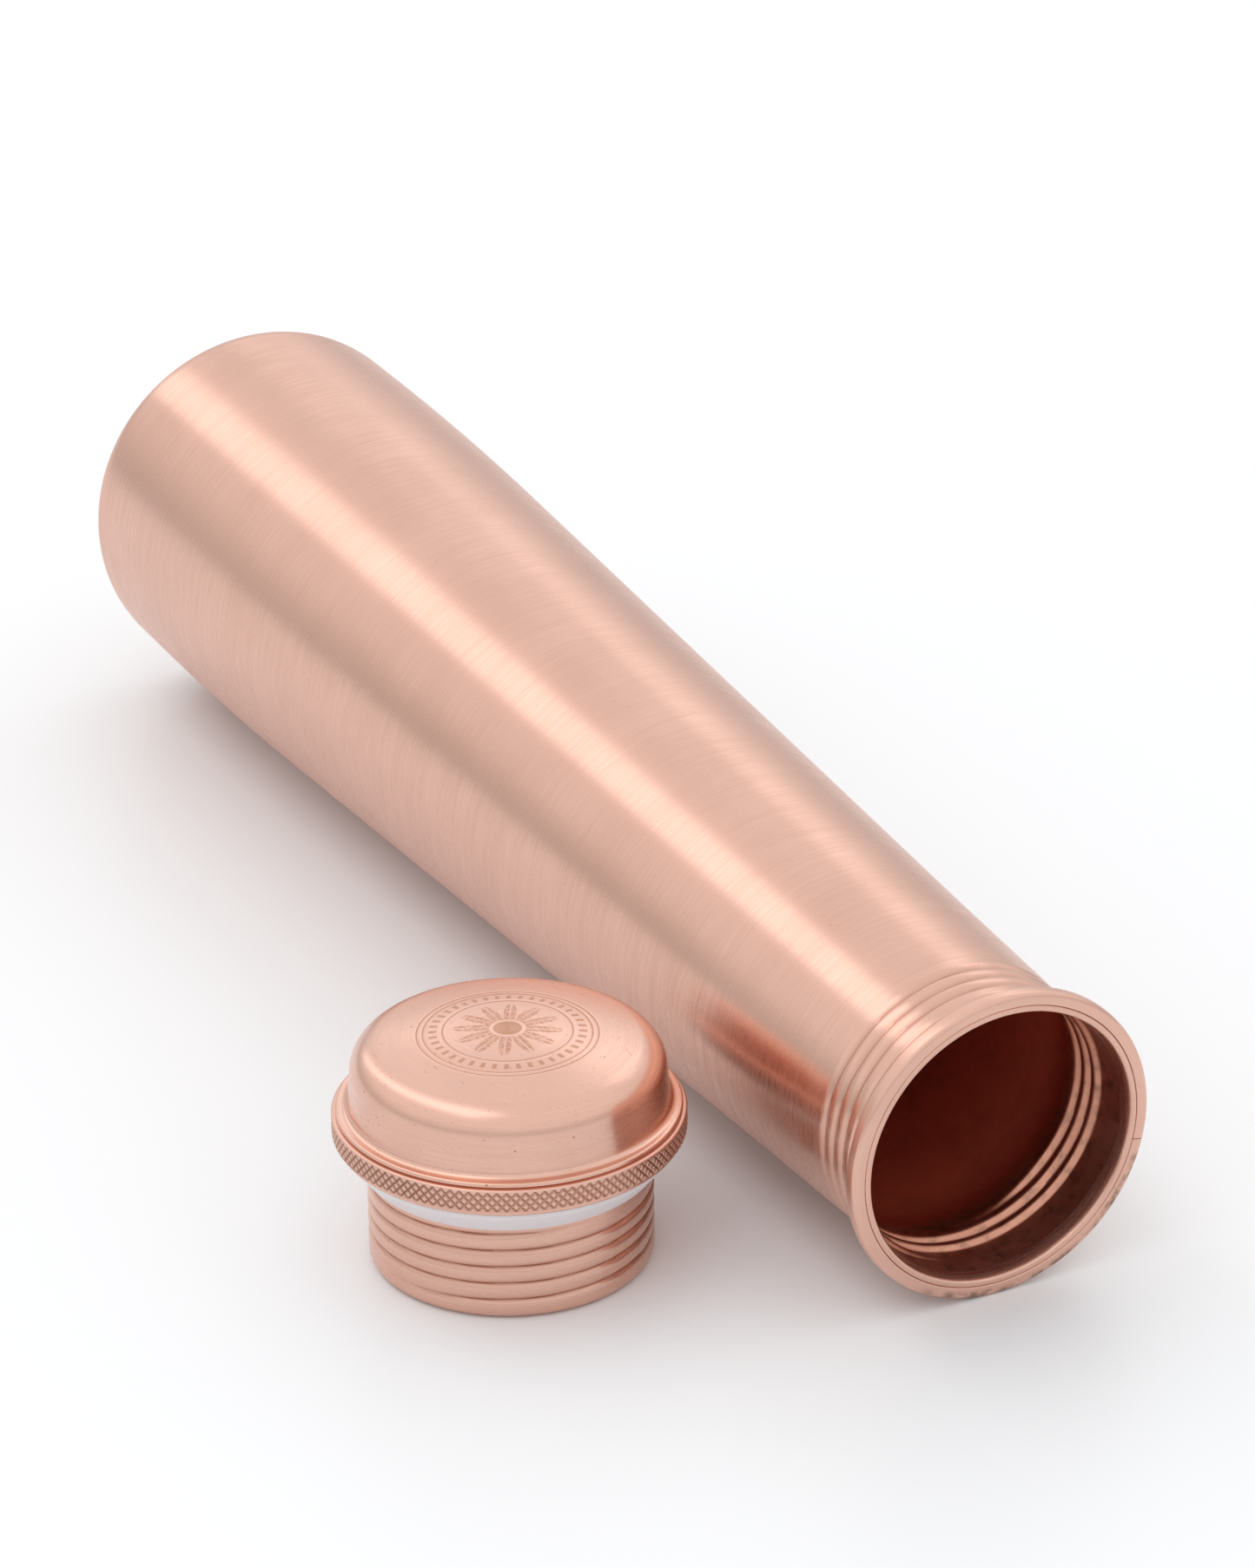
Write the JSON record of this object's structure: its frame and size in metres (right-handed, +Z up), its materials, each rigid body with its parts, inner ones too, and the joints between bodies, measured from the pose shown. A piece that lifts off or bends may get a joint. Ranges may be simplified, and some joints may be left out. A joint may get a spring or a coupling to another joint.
{
  "type": "water bottle",
  "caption": "Tapered copper water bottle lying on its side, with its threaded, knurled screw cap standing beside the mouth.",
  "frame": {"origin": "on the resting surface, under the middle of the bounding box of the bottle and its cap", "axes": "+X along the lying bottle towards its mouth, +Z up, and the cap stands on the -Y side"},
  "size_m": [0.3017, 0.1276, 0.0736],
  "materials": {
    "bottle_copper": "satin copper with fine brush lines round the bottle",
    "ring_copper": "satin copper, turned, with tarnish where it was brazed",
    "plug_copper": "satin copper, rolled thread",
    "grip_copper": "satin copper, fine diamond knurl with dark grooves",
    "dome_copper": "satin copper, brushed in circles, with a faint etched rosette",
    "silicone": "translucent grey-white silicone"
  },
  "bodies": {
    "bottle": {"bottle_shell": "bottle_copper", "mouth_ring": "ring_copper"},
    "gasket": {"gasket": "silicone"},
    "cap": {"plug_shell": "plug_copper", "grip_ring": "grip_copper", "dome_shell": "dome_copper"}
  },
  "joints": [
    {"name": "cap_rise", "type": "slide", "parent": "bottle", "child": "gasket", "axis": [0, 0, 1], "range_m": [0, 0.0075]},
    {"name": "cap_turn", "type": "hinge", "parent": "gasket", "child": "cap", "pos_m": [0.09824, -0.03478, 0], "axis": [0, 0, 1], "range_deg": [0, 900]}
  ],
  "couplings": [
    {"joint": "cap_rise", "follows": "cap_turn", "m_per_rad": 0.00047746}
  ]
}
